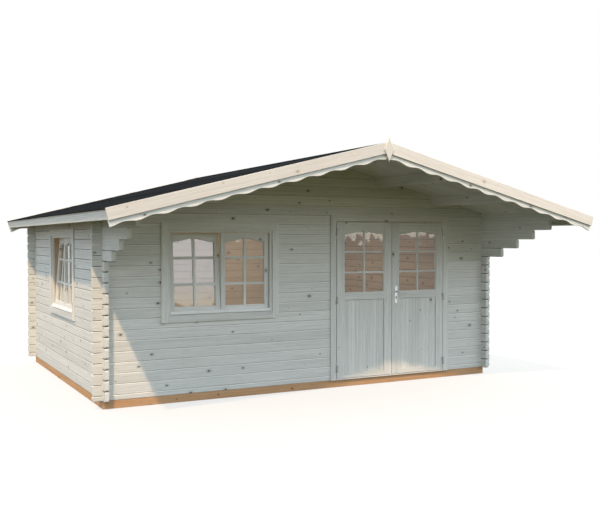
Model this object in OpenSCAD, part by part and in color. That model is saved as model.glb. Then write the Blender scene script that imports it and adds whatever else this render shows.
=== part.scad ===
// Log summer house with a front canopy carried on corbelled wall logs.
// Millimetres, Z up. X runs along the front wall, Y from the front to the back.
// The origin is on the ground, in the middle of the roof's footprint.

/* [Walls] */
// Outer width of the log walls
house_w = 5140; // [4900:10:5400]
// Outer depth of the log walls
house_d = 3880; // [3500:10:4300]
// Thickness of a wall log
log_t = 44; // [40:1:60]
// Height of one log course
log_h = 114; // [112:1:118]
// Courses in a side wall
side_courses = 18; // [18:1:19]
// Length of the log ends past a corner
log_end = 105; // [70:5:120]
// Radius of the rounded corners at a log's end
end_round = 22; // [10:1:26]
// Bevel along the edges of a log, half of the groove between two courses
groove = 5; // [3:1:7]
// Side wall course where the corbels start, counted from zero
corbel_first = 13; // [12:1:14]
// Step by which each corbel log reaches further than the one below
corbel_step = 283; // [200:1:290]

/* [Base and floor] */
// Height of the base beams
base_h = 88; // [70:1:120]
// Width of a base beam
base_t = 60; // [50:1:90]
// Distance of the base beams inside the wall face
base_inset = 5; // [0:1:10]
// Number of floor joists
joist_count = 7; // [5:1:9]
// Width of a floor joist
joist_t = 45; // [40:1:60]
// Thickness of the floor boards
floor_t = 18; // [16:1:28]

/* [Roof] */
// Slope of the roof in degrees
roof_slope = 14; // [12:0.5:16]
// Level reach of the bargeboards past the face of a side wall
eave_overhang = 352; // [300:1:450]
// Reach of the roof in front of the front wall, to the face of the bargeboard
front_overhang = 1547; // [1400:1:1700]
// Reach of the roof behind the back wall, to the face of the bargeboard
back_overhang = 150; // [145:1:300]
// Thickness of the roof boards
roof_board_t = 19; // [16:1:28]
// Thickness of the roofing felt
felt_t = 4; // [3:1:6]
// Felt edge past the face of the fascia
felt_drip = 8; // [4:1:15]
// Thickness of a fascia board
fascia_t = 20; // [16:1:28]
// Depth of a fascia board
fascia_h = 97; // [80:1:120]
// Distance of the fascia behind the end of the bargeboard
fascia_inset = 6; // [2:1:12]
// Width of a purlin
purlin_w = 58; // [44:1:80]
// Depth of a purlin
purlin_h = 120; // [100:1:140]
// Spacing of the purlins measured level from the ridge
purlin_pitch = 857; // [780:1:870]

/* [Gable trim] */
// Thickness of a bargeboard
barge_t = 20; // [16:1:26]
// Depth of a bargeboard
barge_h = 113; // [90:1:140]
// Height of a bargeboard above the felt
barge_proud = 6; // [2:1:12]
// Thickness of a scalloped board
scallop_t = 18; // [14:1:22]
// Depth of a scallop's tip below the bargeboard
scallop_drop = 60; // [45:1:80]
// Height of a wave in the scalloped edge
scallop_wave = 20; // [10:1:30]
// Number of waves along a scalloped board
scallop_count = 11; // [8:1:16]
// Height of the diamond finial
finial_h = 240; // [180:1:300]
// Width of the diamond finial
finial_w = 110; // [80:1:140]
// Thickness of the diamond finial
finial_t = 18; // [14:1:24]
// Height of the finial's point above the top of the bargeboards
finial_rise = 37; // [20:1:60]

/* [Windows] */
// Width of a window's opening in the logs
window_w = 1300; // [1100:10:1400]
// Height of a window's opening in the logs
window_h = 979; // [940:1:1010]
// Whole courses under a window
window_course = 7; // [6:1:8]
// Distance of the front window's middle left of the house's middle
front_window_left = 1216; // [1150:1:1300]
// Distance of the side window's middle behind the front wall's face
side_window_back = 1985; // [1500:1:2400]
// Face width of a window's frame
frame_w = 47; // [40:1:60]
// Depth of a window's frame through the wall
frame_d = 70; // [68:1:90]
// Thickness of a sash
sash_t = 40; // [30:1:45]
// Distance of a sash behind the wall face
sash_back = 24; // [8:1:26]
// Face width of a sash's sides and bottom
sash_stile = 55; // [45:1:70]
// Depth of a sash's top rail over the crown of its glass
sash_top = 60; // [50:1:110]
// Clearance over, beside and between the two sashes, which stand on their frame's sill
sash_gap = 4; // [3.5:0.5:6]
// Inward lean of the tilted left sashes in degrees
sash_tilt = 4.5; // [0:0.5:5]
// Rise of the curved head of a pane
pane_rise = 40; // [20:1:60]
// Thickness of the glass
glass_t = 4; // [3:1:8]
// Face width of the casing boards round windows and door
casing_w = 78; // [65:1:85]
// Thickness of the casing boards
casing_t = 20; // [15:1:25]
// Width of a window's frame that its casing covers
casing_lap = 18; // [8:1:30]

/* [Door] */
// Distance of the door's middle right of the house's middle
door_right = 1076; // [1000:1:1150]
// Width of one door leaf
leaf_w = 791; // [700:1:810]
// Height of a door leaf
leaf_h = 1905; // [1850:1:1920]
// Thickness of a door leaf
leaf_t = 42; // [36:1:46]
// Gap between a leaf and the frame
leaf_gap = 5; // [5:0.5:8]
// Gap between the two leaves
meeting_gap = 8; // [7.5:0.5:12]
// Thickness of the door frame's posts and head
jamb_t = 40; // [34:1:50]
// Width of the door frame's face that its casing covers
jamb_lap = 38; // [20:1:40]
// Depth of the stop strips behind the leaves
stop_d = 16; // [10:1:16]
// Width of the stop strips
stop_w = 15; // [12:1:20]
// Thickness of the threshold
threshold_t = 12; // [8:1:12]
// Face width of a leaf's stiles
stile_w = 108; // [90:1:130]
// Height of a leaf's bottom rail
bottom_rail = 50; // [40:1:150]
// Height of the lower panel
panel_h = 902; // [700:1:910]
// Height of a leaf's middle rail
mid_rail = 90; // [70:1:120]
// Depth of a leaf's top rail over the crown of its glass
top_rail = 112; // [90:1:130]
// Thickness of the lower panel
panel_t = 18; // [14:1:24]
// Rise of the curved head of a door's glass
door_pane_rise = 32; // [20:1:60]

/* [Hinges and handle] */
// Radius of a hinge barrel
barrel_r = 8; // [6:0.5:10]
// Height of half a hinge barrel
barrel_h = 45; // [30:1:60]
// Radius of a hinge pin
hinge_pin_r = 4; // [3:0.5:5]
// Width of a hinge plate
hinge_plate_w = 24; // [20:1:60]
// Thickness of a hinge plate
hinge_plate_t = 3; // [2:0.5:4]
// Height of the lowest hinge over the leaf's bottom edge
hinge_low = 120; // [90:1:200]
// Height of the handle over the leaf's bottom edge
handle_z = 1035; // [980:1:1060]
// Distance of the handle from the leaf's meeting edge
handle_in = 60; // [50:1:70]
// Height of a handle plate
plate_h = 215; // [150:1:240]
// Width of a handle plate
plate_w = 38; // [30:1:44]
// Thickness of a handle plate
plate_t = 5; // [3:1:8]
// Radius of the handle's spindle collar
collar_r = 9; // [7:0.5:11]
// Reach of the lever in front of its plate
lever_out = 45; // [35:1:60]
// Length of the lever from its spindle
lever_len = 125; // [100:1:140]
// Radius of the lever's grip
lever_r = 8; // [6:0.5:9]

/* [Hidden] */
// Gap left between pieces that rest against each other
seat = 0.3;
// Running clearance of a pin in its barrel
pin_play = 0.1;
// Smoothness of round pieces
$fn = 48;
// Straight runs in one wave or in one rounded log corner
wave_steps = 10;
corner_steps = 4;
pane_steps = 20;
// Share of a course that must be left under the ridge for a topmost log
least_log = 0.15;
// Length that clears every wall, used for cutters
far = 2 * (house_w + house_d);

// Lines of the plan
half_w = house_w / 2;
roof_d = front_overhang + house_d + back_overhang;
roof_front = -roof_d / 2;
roof_back = roof_d / 2;
front_y = roof_front + front_overhang;
back_y = front_y + house_d;
// Ends of the roof boards and of the purlins behind the gable trim
board_front = roof_front + barge_t + seat;
board_back = roof_back - barge_t - seat;
purlin_front = board_front + scallop_t + seat;
purlin_back = board_back - scallop_t - seat;

// Heights of the walls and the roof's underside
wall_top = base_h + side_courses * log_h;
ridge_z = wall_top + (half_w - log_t) * tan(roof_slope);
function roof_z(x) = ridge_z - abs(x) * tan(roof_slope);
function front_lo(j) = j < 0 ? base_h : base_h + (j + 0.5) * log_h;
function front_hi(j) = base_h + (j + 1.5) * log_h;
function side_lo(k) = base_h + k * log_h;
function side_hi(k) = base_h + (k + 1) * log_h;
// First course that the slopes cut, and the highest one under the ridge
eave_course = side_courses - 1;
gable_last = floor((ridge_z - front_lo(0)) / log_h - least_log);

// Levels above the roof's underside, square to the slope
felt_top = roof_board_t + seat + felt_t;
barge_top = felt_top + barge_proud;
barge_low = barge_top - barge_h;
scallop_low = barge_low - scallop_drop;
// Lengths down the slope, to the ends of the bargeboards and to the face of the fascia
slope_len = (half_w + eave_overhang) / cos(roof_slope);
fascia_out = slope_len - fascia_inset;

// Window openings
window_front_z = front_lo(window_course);
window_side_z = side_lo(window_course);
sash_w = (window_w - 2 * seat - 2 * frame_w - 3 * sash_gap) / 2;
sash_h = window_h - 3 * seat - 2 * frame_w - sash_gap;
sash_x = (sash_gap + sash_w) / 2;
sash_z = 2 * seat + frame_w;
pane_w = sash_w - 2 * sash_stile;
pane_h = sash_h - sash_stile - sash_top;

// Door opening
clear_w = 2 * leaf_w + meeting_gap + 2 * leaf_gap;
door_w = clear_w + 2 * jamb_t + 2 * seat;
leaf_z = base_h + seat + threshold_t + leaf_gap;
clear_top = leaf_z + leaf_h + leaf_gap;
door_top = clear_top + jamb_t + seat;
door_l = door_right - door_w / 2;
door_r = door_right + door_w / 2;
head_course = floor((door_top - front_lo(0)) / log_h);
leaf_front = -casing_t - seat;
light_w = leaf_w - 2 * stile_w;
light_z = bottom_rail + panel_h + mid_rail;
light_h = leaf_h - light_z - top_rail;

// Hinges and handle
hinge_x = clear_w / 2 - leaf_gap / 2;
hinge_y = leaf_front - seat - barrel_r;
hinge_step = (leaf_h - 2 * hinge_low) / 2;
hinge_heights = [for (i = [0:2]) hinge_low + i * hinge_step];
handle_x = meeting_gap / 2 + handle_in;

// Finishes
glaze = [0.80, 0.82, 0.80];
cream = [0.90, 0.87, 0.81];
bearer_brown = [0.66, 0.50, 0.35];
pine = [0.80, 0.60, 0.38];
felt_grey = [0.20, 0.22, 0.24];
pane_blue = [0.70, 0.78, 0.80, 0.4];
steel = [0.72, 0.73, 0.75];

// Points of an arc from angle a0 to a1
function arc(cx, cz, r, a0, a1) = [for (i = [0:corner_steps])
    let (a = a0 + (a1 - a0) * i / corner_steps)
    [cx + r * cos(a), cz + r * sin(a)]];

// Side view of a log from a to b; ra and rb round the corners of its two ends
function log_outline(a, b, lo, hi, ra, rb) = concat(
    ra > 0 ? concat(arc(a + ra, hi - ra, ra, 90, 180), arc(a + ra, lo + ra, ra, 180, 270))
           : [[a, hi], [a, lo]],
    rb > 0 ? concat(arc(b - rb, lo + rb, rb, 270, 360), arc(b - rb, hi - rb, rb, 0, 90))
           : [[b, lo], [b, hi]]);

// End view of a log whose faces lie at a and b, with bevelled edges
function log_section(a, b, lo, hi) = [
    [a + groove, lo], [b - groove, lo], [b, lo + groove], [b, hi - groove],
    [b - groove, hi], [a + groove, hi], [a, hi - groove], [a, lo + groove]];

// Everything below the roof's underside, seen from the front
module under_roof() {
    reach = half_w + log_end + log_h;
    polygon([[-reach, -1], [reach, -1], [reach, roof_z(reach) - seat],
        [0, ridge_z - seat], [-reach, roof_z(reach) - seat]]);
}

// Upright rectangle from two corners
module rect(x0, x1, z0, z1) {
    translate([x0, z0]) square([x1 - x0, z1 - z0]);
}

// Outline in X and Z made into a piece from y0 to y1
module upright_x(y0, y1) {
    translate([0, y1, 0]) rotate([90, 0, 0]) linear_extrude(y1 - y0) children();
}

// Outline in Y and Z made into a piece from x0 to x1
module upright_y(x0, x1) {
    translate([x0, 0, 0]) rotate([90, 0, 90]) linear_extrude(x1 - x0) children();
}

// Seats that the crossing wall cuts out of a log between a and b
module corner_notch(a, b, lo, hi, from_base) {
    if (!from_base) rect(a - seat, b + seat, lo - 1, lo + log_h / 4 + seat / 2);
    rect(a - seat, b + seat, hi - log_h / 4 - seat / 2, hi + 1);
}

// End view of a purlin whose middle is x away from the ridge
module purlin_end(x, play) {
    rect(x - purlin_w / 2 - play, x + purlin_w / 2 + play,
        roof_z(x) - purlin_h - play, roof_z(x) + purlin_h);
}

// One log of the front or back wall, from a to b, with its wall's face at y0
module gable_log(j, y0, a, b) {
    lo = front_lo(j) + (j < 0 ? seat : seat / 2);
    hi = front_hi(j) - seat / 2;
    intersection() {
        upright_x(y0, y0 + log_t) difference() {
            intersection() {
                polygon(log_outline(a, b, lo, hi,
                    a < -half_w ? end_round : 0, b > half_w ? end_round : 0));
                under_roof();
            }
            corner_notch(-half_w, log_t - half_w, front_lo(j), front_hi(j), j < 0);
            corner_notch(half_w - log_t, half_w, front_lo(j), front_hi(j), j < 0);
            for (i = [-2:2]) purlin_end(i * purlin_pitch, seat);
            children();
        }
        upright_y(-far / 2, far / 2) polygon(log_section(y0, y0 + log_t, lo, hi));
    }
}

// Openings of the front wall
module door_hole() {
    rect(door_l, door_r, -1, door_top);
}
module window_hole(middle, z0) {
    rect(middle - window_w / 2, middle + window_w / 2, z0, z0 + window_h);
}

// Front end of a side wall log
function side_front(k) = k == side_courses - 1 ? purlin_front
    : front_y - log_end - corbel_step * max(0, k - corbel_first + 1);

// One log of a side wall whose outer face is at x0
module side_log(k, x0) {
    lo = side_lo(k) + (k == 0 ? seat : seat / 2);
    hi = side_hi(k) - seat / 2;
    top = k == side_courses - 1;
    intersection() {
        upright_y(x0, x0 + log_t) difference() {
            polygon(log_outline(side_front(k), top ? purlin_back : back_y + log_end,
                lo, hi, top ? 0 : end_round, top ? 0 : end_round));
            corner_notch(front_y, front_y + log_t, side_lo(k), side_hi(k), false);
            corner_notch(back_y - log_t, back_y, side_lo(k), side_hi(k), false);
            children();
        }
        upright_x(-far / 2, far / 2) intersection() {
            polygon(log_section(x0, x0 + log_t, lo, hi));
            under_roof();
        }
    }
}

// Point of the left slope, u down from the ridge and w above the roof's underside
function slope_point(u, w) = [
    -u * cos(roof_slope) - w * sin(roof_slope),
    ridge_z - u * sin(roof_slope) + w * cos(roof_slope)];
// Distance down the slope where level w meets the plumb cut at the ridge
function ridge_u(w) = (seat / 2 - w * sin(roof_slope)) / cos(roof_slope);

// Board of the left slope from the ridge to u, between the levels lo and hi
module slope_board(u, lo, hi) {
    polygon([slope_point(ridge_u(lo), lo), slope_point(u, lo),
        slope_point(u, hi), slope_point(ridge_u(hi), hi)]);
}

// Both slopes of a gable
module both_slopes() {
    children();
    mirror([1, 0, 0]) children();
}

// Scalloped board of the left slope: its lower edge is a cosine wave that ends in a tip
module scalloped_outline() {
    steps = scallop_count * wave_steps;
    edge = [for (i = [0:steps])
        let (u = slope_len * (1 - i / steps))
        slope_point(max(u, ridge_u(scallop_low)), scallop_low
            + scallop_wave / 2 * (1 - cos(360 * i / wave_steps)))];
    polygon(concat([slope_point(ridge_u(-seat), -seat), slope_point(slope_len, -seat)], edge));
}

// Diamond in front of the ridge
module finial_outline() {
    top = slope_point(ridge_u(barge_top), barge_top)[1] + finial_rise;
    polygon([[0, top], [-finial_w / 2, top - finial_h / 2], [0, top - finial_h],
        [finial_w / 2, top - finial_h / 2]]);
}

// Pane with a curved head, standing on the line z = 0 in the middle of x = 0
module pane_outline(w, h, rise) {
    head = [for (i = [0:pane_steps])
        let (x = w / 2 - w * i / pane_steps)
        [x, h - rise / 2 * (1 - cos(360 * x / w))]];
    polygon(concat([[-w / 2, 0], [w / 2, 0]], head));
}

// Two upright boards of width w, with their inner edges at x = -half and x = half
module upright_pair(half, w, z0, z1) {
    rect(-half - w, -half, z0, z1);
    rect(half, half + w, z0, z1);
}

// The window unit stands on its opening's lower edge, with its face at y = 0
module window_frame() {
    half = window_w / 2 - seat - frame_w;
    top = window_h - seat;
    upright_x(0, frame_d) {
        upright_pair(half, frame_w, seat, top);
        rect(seat - half, half - seat, seat, seat + frame_w);
        rect(seat - half, half - seat, top - frame_w, top);
    }
}

// Casing boards round an opening: two uprights, with the others fitted between them
module window_casing() {
    half = window_w / 2 - casing_lap;
    low = casing_lap - casing_w;
    top = window_h - low;
    upright_x(-casing_t - seat, -seat) {
        upright_pair(half, casing_w, low, top);
        rect(seat - half, half - seat, low, casing_lap);
        rect(seat - half, half - seat, window_h - casing_lap, top);
    }
}

// Leans a sash inwards about its lower inner edge
module lean(angle) {
    translate([0, sash_back + sash_t, sash_z]) rotate([-angle, 0, 0])
        translate([0, -sash_back - sash_t, 0]) children();
}

module sash(side, angle) {
    translate([side * sash_x, 0, 0]) lean(angle) upright_x(sash_back, sash_back + sash_t) difference() {
        rect(-sash_w / 2, sash_w / 2, 0, sash_h);
        translate([0, sash_stile]) pane_outline(pane_w, pane_h, pane_rise);
    }
}

module sash_pane(side, angle) {
    y0 = sash_back + (sash_t - glass_t) / 2;
    translate([side * sash_x, 0, 0]) lean(angle) upright_x(y0, y0 + glass_t)
        translate([0, sash_stile + seat])
            pane_outline(pane_w - 2 * seat, pane_h - 2 * seat, pane_rise);
}

module window_panes() {
    sash_pane(-1, sash_tilt);
    sash_pane(1, 0);
}

module at_front_window() {
    translate([-front_window_left, front_y, window_front_z]) children();
}

module at_side_window() {
    translate([-half_w, front_y + side_window_back, window_side_z]) rotate([0, 0, -90]) children();
}

module at_door() {
    translate([door_right, front_y, 0]) children();
}

// A leaf stands with its hinge edge at x = 0 and its bottom edge at z = 0
module at_left_leaf() {
    at_door() translate([leaf_gap - clear_w / 2, 0, leaf_z]) children();
}

module at_right_leaf() {
    at_door() translate([clear_w / 2 - leaf_gap, 0, leaf_z]) mirror([1, 0, 0]) children();
}

module light_outline(play) {
    translate([leaf_w / 2, light_z + play])
        pane_outline(light_w - 2 * play, light_h - 2 * play, door_pane_rise);
}

module panel_outline(play) {
    rect(stile_w + play, leaf_w - stile_w - play, bottom_rail + play, bottom_rail + panel_h - play);
}

module leaf() {
    upright_x(leaf_front, leaf_front + leaf_t) difference() {
        square([leaf_w, leaf_h]);
        light_outline(0);
        panel_outline(0);
    }
}

module leaf_panel() {
    y0 = leaf_front + (leaf_t - panel_t) / 2;
    upright_x(y0, y0 + panel_t) panel_outline(seat);
}

module leaf_glass() {
    y0 = leaf_front + (leaf_t - glass_t) / 2;
    upright_x(y0, y0 + glass_t) light_outline(seat);
}

// Upper halves of the hinges, each a bored barrel with a plate on the leaf's face
module leaf_hinges() {
    for (z = hinge_heights) translate([-leaf_gap / 2, hinge_y, z + pin_play]) difference() {
        union() {
            cylinder(h = barrel_h, r = barrel_r);
            translate([0, barrel_r - hinge_plate_t, 0]) cube([hinge_plate_w, hinge_plate_t, barrel_h]);
        }
        translate([0, 0, -1]) cylinder(h = barrel_h + 2, r = hinge_pin_r + pin_play);
    }
}

// Lower halves of the hinges, each a barrel with its pin and a plate on the casing
module frame_hinges() {
    for (z = hinge_heights) translate([-hinge_x, hinge_y, leaf_z + z - barrel_h]) {
        cylinder(h = barrel_h - pin_play, r = barrel_r);
        cylinder(h = 2 * barrel_h - pin_play, r = hinge_pin_r);
        translate([-hinge_plate_w, barrel_r - hinge_plate_t, 0])
            cube([hinge_plate_w, hinge_plate_t, barrel_h - pin_play]);
    }
}

// Place of the handle's spindle, on the right leaf
module at_handle() {
    at_door() translate([handle_x, 0, leaf_z + handle_z]) children();
}

// Spindle or hole along Y between two depths
module along_y(y0, y1, r) {
    translate([0, y1, 0]) rotate([90, 0, 0]) cylinder(h = y1 - y0, r = r);
}

module base_beams() {
    color(bearer_brown) {
        inner = half_w - base_inset;
        for (y = [front_y + base_inset, back_y - base_inset - base_t])
            translate([-inner, y, 0]) cube([2 * inner, base_t, base_h]);
        for (x = [-inner, inner - base_t])
            translate([x, front_y + base_inset + base_t + seat, 0])
                cube([base_t, house_d - 2 * (base_inset + base_t + seat), base_h]);
    }
}

module floor_joists() {
    run = house_d - 2 * (base_inset + base_t + seat);
    step = (house_w - 2 * (base_inset + base_t)) / (joist_count + 1);
    color(bearer_brown) for (i = [1:joist_count])
        translate([i * step - half_w + base_inset + base_t - joist_t / 2,
            front_y + base_inset + base_t + seat, 0]) cube([joist_t, run, base_h]);
}

module floor_boards() {
    inner = log_t + seat;
    color(pine) translate([inner - half_w, front_y + inner, base_h + seat])
        cube([house_w - 2 * inner, house_d - 2 * inner, floor_t]);
}

module left_wall() {
    color(glaze) for (k = [0:side_courses - 1])
        side_log(k, -half_w) window_hole(front_y + side_window_back, window_side_z);
}

module right_wall() {
    color(glaze) for (k = [0:side_courses - 1]) side_log(k, half_w - log_t);
}

module front_wall_left() {
    color(glaze) for (j = [-1:head_course - 1])
        gable_log(j, front_y, -half_w - log_end, door_l)
            window_hole(-front_window_left, window_front_z);
}

module front_wall_right() {
    color(glaze) for (j = [-1:head_course - 1]) gable_log(j, front_y, door_r, half_w + log_end);
}

module front_gable() {
    color(glaze) for (j = [head_course:gable_last])
        gable_log(j, front_y, -half_w - log_end, half_w + log_end) {
            door_hole();
            window_hole(-front_window_left, window_front_z);
        }
}

module back_wall() {
    color(glaze) for (j = [-1:eave_course - 1])
        gable_log(j, back_y - log_t, -half_w - log_end, half_w + log_end);
}

module back_gable() {
    color(glaze) for (j = [eave_course:gable_last])
        gable_log(j, back_y - log_t, -half_w - log_end, half_w + log_end);
}

module ridge_purlin() {
    color(glaze) upright_x(purlin_front, purlin_back) intersection() {
        purlin_end(0, 0);
        under_roof();
    }
}

module side_purlins() {
    color(glaze) for (i = [-2, -1, 1, 2]) upright_x(purlin_front, purlin_back) intersection() {
        purlin_end(i * purlin_pitch, 0);
        under_roof();
    }
}

module left_roof_boards() {
    color(glaze) upright_x(board_front, board_back)
        slope_board(fascia_out - fascia_t - seat, 0, roof_board_t);
}

module right_roof_boards() {
    mirror([1, 0, 0]) left_roof_boards();
}

module left_roof_felt() {
    color(felt_grey) upright_x(board_front, board_back)
        slope_board(fascia_out + felt_drip, roof_board_t + seat, felt_top);
}

module right_roof_felt() {
    mirror([1, 0, 0]) left_roof_felt();
}

module left_fascia() {
    color(glaze) upright_x(purlin_front, purlin_back)
        polygon([for (c = [[0, 0], [1, 0], [1, 1], [0, 1]])
            slope_point(fascia_out - fascia_t * (1 - c[0]), roof_board_t - fascia_h * (1 - c[1]))]);
}

module right_fascia() {
    mirror([1, 0, 0]) left_fascia();
}

module bargeboards(y0) {
    color(cream) both_slopes() upright_x(y0, y0 + barge_t) slope_board(slope_len, barge_low, barge_top);
}

module front_bargeboards() {
    bargeboards(roof_front);
}

module back_bargeboards() {
    bargeboards(roof_back - barge_t);
}

module scalloped_boards(y0) {
    color(cream) both_slopes() upright_x(y0, y0 + scallop_t) scalloped_outline();
}

module front_scalloped_boards() {
    scalloped_boards(board_front);
}

module back_scalloped_boards() {
    scalloped_boards(board_back - scallop_t);
}

module front_finial() {
    color(cream) upright_x(roof_front - seat - finial_t, roof_front - seat) finial_outline();
}

module back_finial() {
    color(cream) upright_x(roof_back + seat, roof_back + seat + finial_t) finial_outline();
}

module front_window_frame() {
    color(glaze) at_front_window() window_frame();
}

module front_window_casing() {
    color(glaze) at_front_window() window_casing();
}

module front_window_left_sash() {
    color(glaze) at_front_window() sash(-1, sash_tilt);
}

module front_window_right_sash() {
    color(glaze) at_front_window() sash(1, 0);
}

module front_window_glass() {
    color(pane_blue) at_front_window() window_panes();
}

module side_window_frame() {
    color(glaze) at_side_window() window_frame();
}

module side_window_casing() {
    color(glaze) at_side_window() window_casing();
}

module side_window_left_sash() {
    color(glaze) at_side_window() sash(-1, sash_tilt);
}

module side_window_right_sash() {
    color(glaze) at_side_window() sash(1, 0);
}

module side_window_glass() {
    color(pane_blue) at_side_window() window_panes();
}

// Two posts and the head between the logs, and the stop strips behind the leaves
module door_frame() {
    foot = base_h + seat;
    stop_y = log_t - stop_d;
    color(glaze) at_door() {
        for (side = [-1, 1]) {
            post = side < 0 ? -clear_w / 2 - jamb_t : clear_w / 2;
            strip = side < 0 ? -clear_w / 2 + seat : clear_w / 2 - stop_w - seat;
            translate([post, 0, foot]) cube([jamb_t, log_t, clear_top - seat - foot]);
            translate([strip, stop_y, foot + threshold_t + seat])
                cube([stop_w, stop_d, clear_top - stop_w - 3 * seat - foot - threshold_t]);
        }
        translate([-clear_w / 2 - jamb_t, 0, clear_top]) cube([clear_w + 2 * jamb_t, log_t, jamb_t]);
        translate([-clear_w / 2 + seat, stop_y, clear_top - stop_w - seat])
            cube([clear_w - 2 * seat, stop_d, stop_w]);
    }
}

module door_casing() {
    half = door_w / 2 - jamb_lap;
    low = door_top - jamb_lap;
    color(glaze) at_door() upright_x(-casing_t - seat, -seat) {
        upright_pair(half, casing_w, base_h + seat, low + casing_w);
        rect(seat - half, half - seat, low, low + casing_w);
    }
}

module door_threshold() {
    color(glaze) at_door() translate([-clear_w / 2 + seat, -casing_t, base_h + seat])
        cube([clear_w - 2 * seat, casing_t + log_t, threshold_t]);
}

module door_hinge_pins() {
    color(steel) at_door() {
        frame_hinges();
        mirror([1, 0, 0]) frame_hinges();
    }
}

module left_door_leaf() {
    color(glaze) at_left_leaf() leaf();
}

module left_door_panel() {
    color(glaze) at_left_leaf() leaf_panel();
}

module left_door_glass() {
    color(pane_blue) at_left_leaf() leaf_glass();
}

module left_door_hinges() {
    color(steel) at_left_leaf() leaf_hinges();
}

module right_door_leaf() {
    color(glaze) difference() {
        at_right_leaf() leaf();
        at_handle() along_y(leaf_front - 1, leaf_front + leaf_t + 1, collar_r + seat);
    }
}

module right_door_panel() {
    color(glaze) at_right_leaf() leaf_panel();
}

module right_door_glass() {
    color(pane_blue) at_right_leaf() leaf_glass();
}

module right_door_hinges() {
    color(steel) at_right_leaf() leaf_hinges();
}

// Long plates on both faces of the right leaf, bored for the spindle
module door_handle_plates() {
    color(steel) at_handle() for (y = [leaf_front - seat - plate_t, leaf_front + leaf_t + seat])
        difference() {
            translate([-plate_w / 2, y, -2 * plate_h / 3]) cube([plate_w, plate_t, plate_h]);
            along_y(y - 1, y + plate_t + 1, collar_r + seat);
        }
}

// Spindle through the leaf with a lever on each side
module door_handle() {
    outer = leaf_front - seat - plate_t - lever_out;
    inner = leaf_front + leaf_t + seat + plate_t + lever_out;
    color(steel) at_handle() {
        along_y(outer, inner, collar_r);
        for (y = [outer, inner]) {
            translate([0, y, 0]) rotate([0, 90, 0]) cylinder(h = lever_len, r = lever_r);
            translate([0, y, 0]) sphere(r = collar_r);
            translate([lever_len, y, 0]) sphere(r = lever_r);
        }
    }
}

base_beams();
floor_joists();
floor_boards();
left_wall();
right_wall();
front_wall_left();
front_wall_right();
front_gable();
back_wall();
back_gable();
ridge_purlin();
side_purlins();
left_roof_boards();
right_roof_boards();
left_roof_felt();
right_roof_felt();
left_fascia();
right_fascia();
front_bargeboards();
back_bargeboards();
front_scalloped_boards();
back_scalloped_boards();
front_finial();
back_finial();
front_window_frame();
front_window_casing();
front_window_left_sash();
front_window_right_sash();
front_window_glass();
side_window_frame();
side_window_casing();
side_window_left_sash();
side_window_right_sash();
side_window_glass();
door_frame();
door_casing();
door_threshold();
door_hinge_pins();
left_door_leaf();
left_door_panel();
left_door_glass();
left_door_hinges();
right_door_leaf();
right_door_panel();
right_door_glass();
right_door_hinges();
door_handle_plates();
door_handle();
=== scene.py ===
import math
from functools import partial

import bpy
import numpy as np
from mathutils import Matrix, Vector


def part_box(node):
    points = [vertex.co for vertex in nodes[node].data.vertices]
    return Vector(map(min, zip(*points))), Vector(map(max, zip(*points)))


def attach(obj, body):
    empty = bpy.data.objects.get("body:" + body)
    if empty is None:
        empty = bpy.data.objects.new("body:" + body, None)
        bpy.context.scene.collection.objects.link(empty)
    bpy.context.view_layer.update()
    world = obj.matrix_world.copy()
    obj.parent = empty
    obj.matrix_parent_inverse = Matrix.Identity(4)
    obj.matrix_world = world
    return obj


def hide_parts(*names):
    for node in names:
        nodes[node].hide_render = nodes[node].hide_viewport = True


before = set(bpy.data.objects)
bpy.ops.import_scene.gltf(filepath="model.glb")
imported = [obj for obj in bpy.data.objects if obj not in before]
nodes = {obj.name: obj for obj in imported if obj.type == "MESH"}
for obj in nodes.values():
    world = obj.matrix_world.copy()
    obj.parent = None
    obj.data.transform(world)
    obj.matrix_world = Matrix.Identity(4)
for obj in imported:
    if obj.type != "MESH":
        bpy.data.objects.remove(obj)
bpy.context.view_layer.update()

# lines of the house in metres, taken from the solids; the corbels start 14 courses up
house = {"logH": 0.114, "logT": 0.044, "slope": math.radians(14), "seat": 0.0003, "eave": 0.352, "corbelFrom": 14}
seat = house["seat"]
halfW = -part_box("left_wall")[0].x
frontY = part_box("front_wall_left")[0].y
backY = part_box("back_wall")[1].y
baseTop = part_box("base_beams")[1].z
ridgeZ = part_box("ridge_purlin")[1].z + seat
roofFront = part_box("front_bargeboards")[0].y
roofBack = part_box("back_bargeboards")[1].y
slopeCos, slopeSin = math.cos(house["slope"]), math.sin(house["slope"])
slopeLen = (halfW + house["eave"]) / slopeCos
dice = np.random.default_rng(41)


def toLinear(code):  # sRGB hex to the linear colour that a shader takes
    part = np.array([int(code[i:i + 2], 16) for i in (1, 3, 5)]) / 255
    line = np.where(part > 0.04045, ((part + 0.055) / 1.055) ** 2.4, part / 12.92)
    return (*line.tolist(), 1.0)


def addNode(tree, kind, ins=(), out=0, **settings):
    # a node with its settings and links, which gives one output; "Math.ADD" also names an operation,
    # a list fills the sockets in order, and a hex code on a socket is a colour
    kind, _, operation = kind.partition(".")
    node = tree.nodes.new("ShaderNode" + kind)
    if operation:
        node.operation = operation
    for key, value in settings.items():
        setattr(node, key, value)
    for key, value in ins.items() if isinstance(ins, dict) else enumerate(ins):
        if isinstance(value, bpy.types.NodeSocket):
            tree.links.new(value, node.inputs[key])
        else:
            node.inputs[key].default_value = toLinear(value) if isinstance(value, str) else value
    return node.outputs[out] if node.outputs else None


def newFinish(name):  # an empty material and the call that fills it
    finish = bpy.data.materials.new(name)
    finish.use_nodes = True
    finish.node_tree.nodes.clear()
    return finish, partial(addNode, finish.node_tree)


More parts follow.
